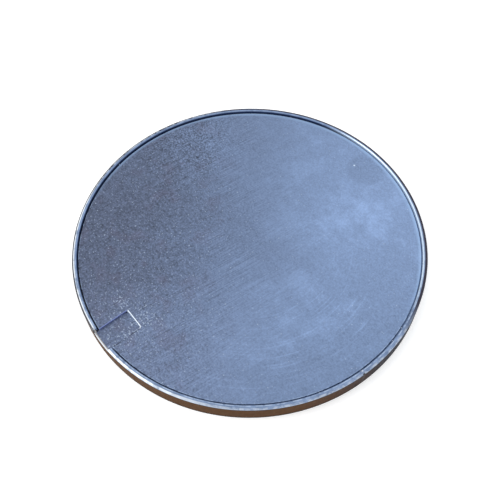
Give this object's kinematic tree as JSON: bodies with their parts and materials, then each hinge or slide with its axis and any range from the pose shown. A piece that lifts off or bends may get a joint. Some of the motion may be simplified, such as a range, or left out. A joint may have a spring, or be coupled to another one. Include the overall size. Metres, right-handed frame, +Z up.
{
  "type": "manhole cover",
  "caption": "Round sheet-steel manhole cover: a flat plate in a folded frame ring, with a lifting recess and a rim notch; the stiffened plate lifts out.",
  "frame": {"origin": "centre of the frame's base", "axes": "+Z up, -Y towards the lifting recess and the rim's notch"},
  "size_m": [0.6, 0.6, 0.035],
  "materials": {
    "rim_steel": "worn galvanised sheet, bright on the rubbed rim, brown-grey on the side",
    "frame_steel": "dull galvanised sheet",
    "seam_weld": "ground butt weld with a dark crater",
    "weld_steel": "rippled weld bead with heat tint",
    "seal_rubber": "matt black strip",
    "plate_steel": "blue-grey galvanised plate with fine pale specks, directional scratches and hazy wear",
    "recess_steel": "blue-grey galvanised sheet with fine pale specks",
    "bar_steel": "dull galvanised flat bar"
  },
  "bodies": {
    "frame": {"frame_band": "rim_steel", "band_seam_weld": "seam_weld", "seat_ledge": "frame_steel", "seat_leg": "frame_steel", "seat_seam_weld": "weld_steel", "ledge_welds": "weld_steel", "seat_leg_welds": "weld_steel", "seal_strip": "seal_rubber"},
    "cover": {"cover_plate": "plate_steel", "recess_floor": "recess_steel", "recess_floor_weld": "weld_steel", "centring_skirt": "bar_steel", "skirt_seam_weld": "weld_steel", "skirt_welds": "weld_steel", "rib_left": "bar_steel", "rib_right": "bar_steel", "rib_front": "bar_steel", "rib_back": "bar_steel", "rib_left_welds": "weld_steel", "rib_right_welds": "weld_steel", "rib_front_welds": "weld_steel", "rib_back_welds": "weld_steel", "rib_lap_welds": "weld_steel"}
  },
  "joints": [
    {"name": "cover_lift", "type": "slide", "parent": "frame", "child": "cover", "axis": [0, 0, 1], "range_m": [0, 0.12]}
  ]
}
